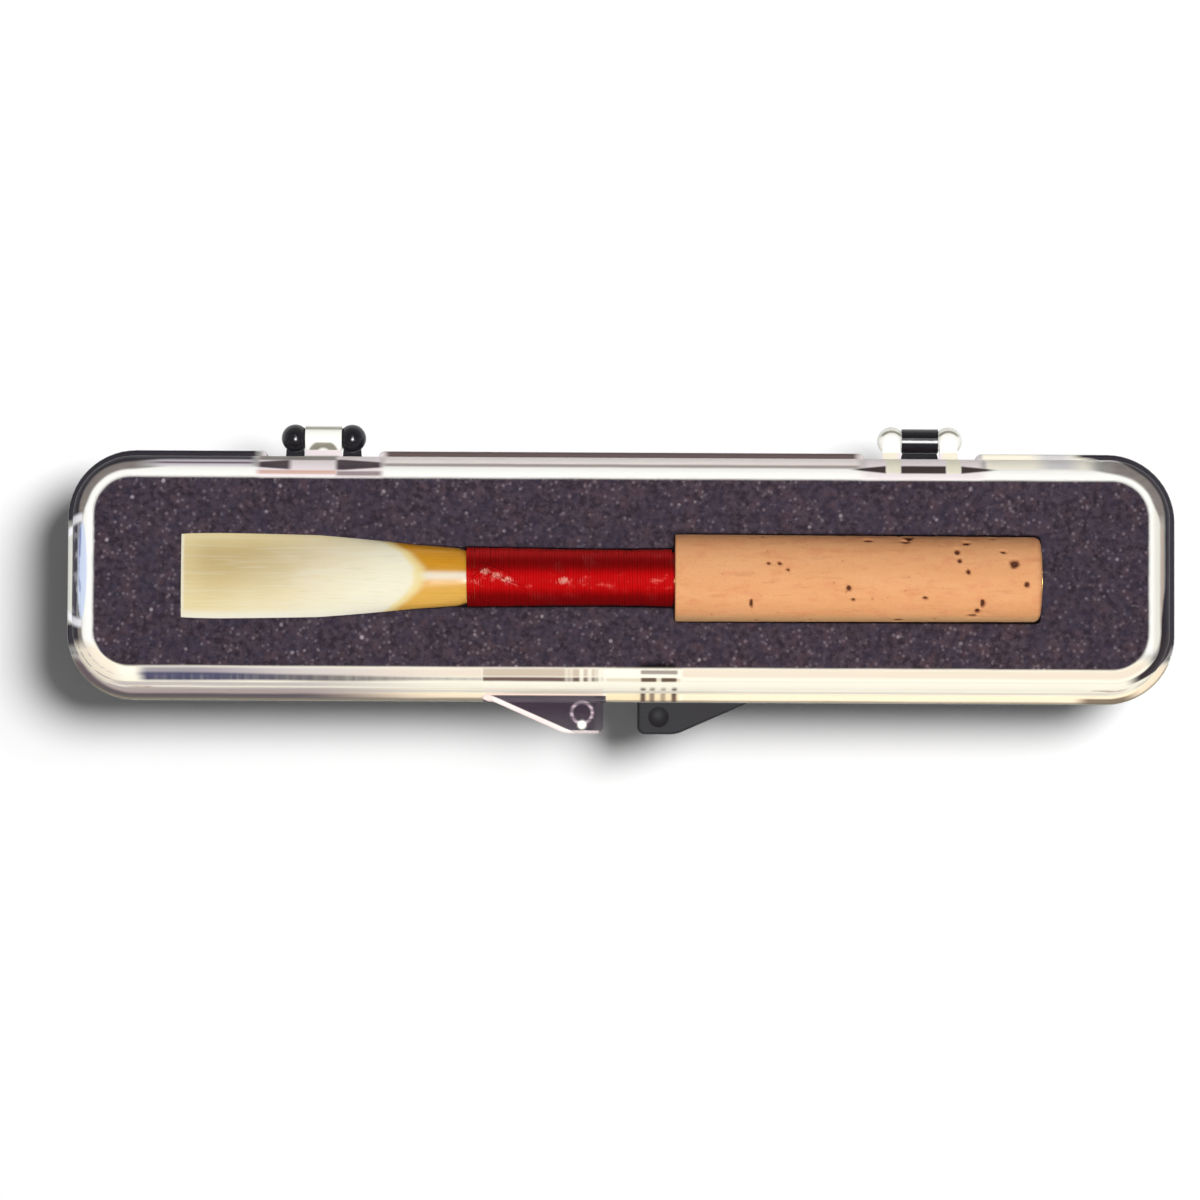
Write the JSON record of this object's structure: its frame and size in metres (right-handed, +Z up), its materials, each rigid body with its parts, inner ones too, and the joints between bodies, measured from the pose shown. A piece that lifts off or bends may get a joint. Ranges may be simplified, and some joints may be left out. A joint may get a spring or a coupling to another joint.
{
  "type": "oboe reed in case",
  "caption": "Oboe reed with cane blades, thread binding and corked staple, lying in foam in a hinged pocket case with a clear lid.",
  "frame": {"origin": "centre of the case's flat underside", "axes": "+X along the reed from its tip to its corked heel, +Y towards the hinge side of the case, +Z up through the lid"},
  "size_m": [0.0912, 0.0254, 0.014],
  "materials": {
    "black_plastic": "gloss",
    "clear_plastic": "gloss",
    "foam": "matte",
    "cane": "satin",
    "brass": "satin",
    "red_thread": "satin",
    "cork": "matte"
  },
  "bodies": {
    "base": {"case_base": "black_plastic", "foam_insert": "foam", "upper_blade": "cane", "lower_blade": "cane", "staple_tube": "brass", "thread_underlayer": "red_thread", "thread_winding": "red_thread", "cork_sleeve": "cork"},
    "lid": {"case_lid": "clear_plastic"}
  },
  "joints": [
    {"name": "lid_hinge", "type": "hinge", "parent": "base", "child": "lid", "pos_m": [0, 0.0114, 0.007], "axis": [-1, 0, 0], "range_deg": [0, 180]}
  ]
}
